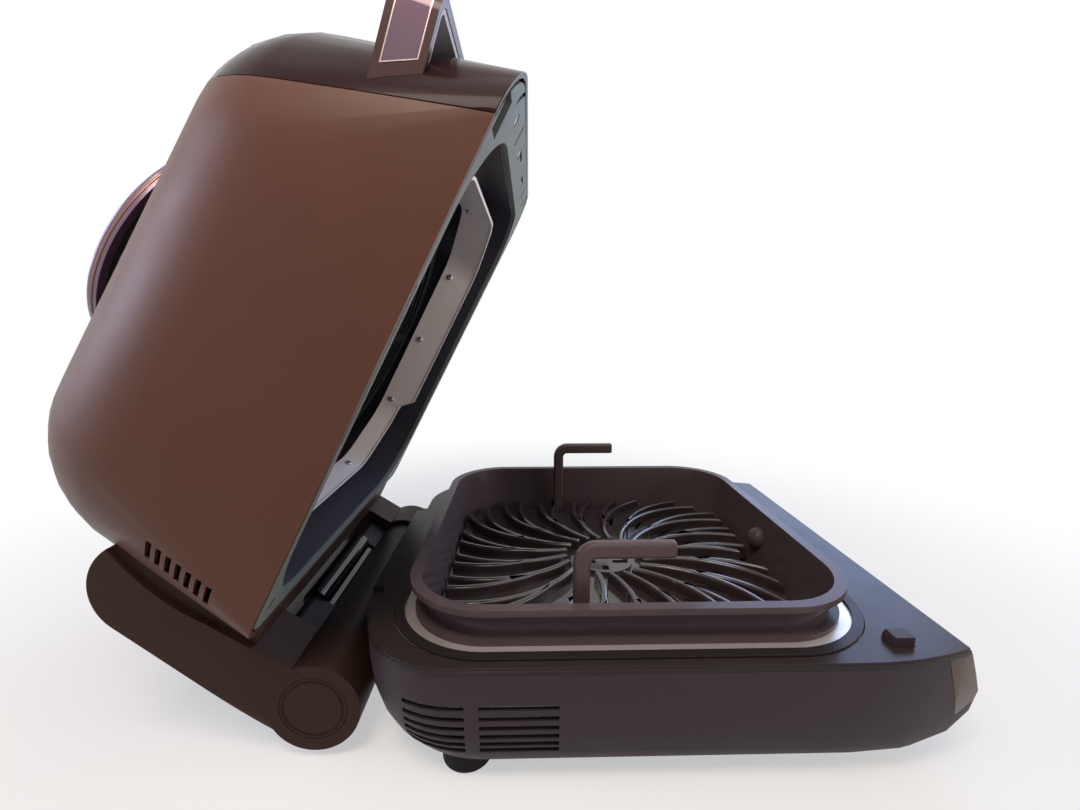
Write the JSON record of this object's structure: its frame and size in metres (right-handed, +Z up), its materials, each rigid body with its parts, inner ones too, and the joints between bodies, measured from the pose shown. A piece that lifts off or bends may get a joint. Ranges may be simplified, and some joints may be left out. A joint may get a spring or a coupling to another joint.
{
  "type": "air fryer grill",
  "caption": "Countertop grill cooker: a square pot with a curved-rib grill plate in a low base, under a deep hinged lid with heater, fan, vent cap and bow handle.",
  "frame": {"origin": "on the table, under the middle of the cooker's box with its lid open", "axes": "+Z up, -Y towards the user at the front, +X to the user's right"},
  "size_m": [0.315, 0.5609, 0.42],
  "materials": {
    "housing_brown": "fine matte texture",
    "deck_brown": "fine matte texture",
    "gloss_brown": "polished",
    "gloss_black": "polished",
    "plum": "polished metallic",
    "frame_grey": "satin",
    "handle_grey": "satin",
    "dark_plastic": "satin",
    "black_enamel": "enamelled",
    "bright_steel": "satin",
    "heater_steel": "oxidised",
    "nonstick": "non-stick coating",
    "foot_rubber": "matte",
    "board_green": "satin",
    "motor_grey": "satin",
    "bush_bronze": "sintered",
    "fan_alloy": "rolled"
  },
  "bodies": {
    "base": {"base_shell": "housing_brown", "base_floor": "dark_plastic", "deck": "deck_brown", "well_trim": "dark_plastic", "well_liner": "bright_steel", "control_panel": "gloss_black", "display_window": "gloss_black", "control_board": "board_green", "foot_front_left": "foot_rubber", "foot_front_right": "foot_rubber", "foot_rear_left": "foot_rubber", "foot_rear_right": "foot_rubber", "interlock_switch": "dark_plastic", "cord_gland": "dark_plastic", "hinge_pin": "bright_steel", "hinge_cover": "gloss_black", "base_screws": "bright_steel"},
    "lid": {"lid_shell": "housing_brown", "lid_fascia": "gloss_brown", "lid_frame": "frame_grey", "cavity_liner": "black_enamel", "reflector_band": "bright_steel", "heating_element": "heater_steel", "element_clips": "bright_steel", "fan_guard": "bright_steel", "motor": "motor_grey", "motor_bracket": "bright_steel", "vent_cap": "plum", "vent_grille": "dark_plastic", "hinge_bracket": "housing_brown", "hinge_cap_left": "housing_brown", "hinge_cap_right": "housing_brown", "hinge_bush_left": "bush_bronze", "hinge_bush_right": "bush_bronze", "handle_bow": "gloss_brown", "handle_inlay": "plum", "handle_underside": "handle_grey", "lid_frame_screws": "bright_steel", "reflector_screws": "bright_steel"},
    "fan": {"circulation_fan": "fan_alloy", "motor_shaft": "bright_steel", "cooling_fan": "dark_plastic", "fan_nut": "bright_steel"},
    "pot": {"cooking_pot": "nonstick"},
    "grill": {"grill_plate": "nonstick", "grill_lifter_left": "nonstick", "grill_lifter_right": "nonstick"},
    "plunger": {"interlock_plunger": "deck_brown"}
  },
  "joints": [
    {"name": "lid_hinge", "type": "hinge", "parent": "base", "child": "lid", "pos_m": [0, 0.113, 0.033], "axis": [-1, 0, 0], "range_deg": [-62.4, 0]},
    {"name": "fan_spin", "type": "hinge", "parent": "lid", "child": "fan", "pos_m": [0, 0.12729, 0.25712], "axis": [0, 0.8862, 0.4633], "continuous": true},
    {"name": "pot_lift", "type": "slide", "parent": "base", "child": "pot", "axis": [0, 0, 1], "range_m": [0, 0.06]},
    {"name": "grill_lift", "type": "slide", "parent": "pot", "child": "grill", "axis": [0, 0, 1], "range_m": [0, 0.08]},
    {"name": "plunger_press", "type": "slide", "parent": "base", "child": "plunger", "axis": [0, 0, 1], "range_m": [-0.003, 0], "stiffness_N_per_m": 250, "springref_m": 0.003}
  ]
}
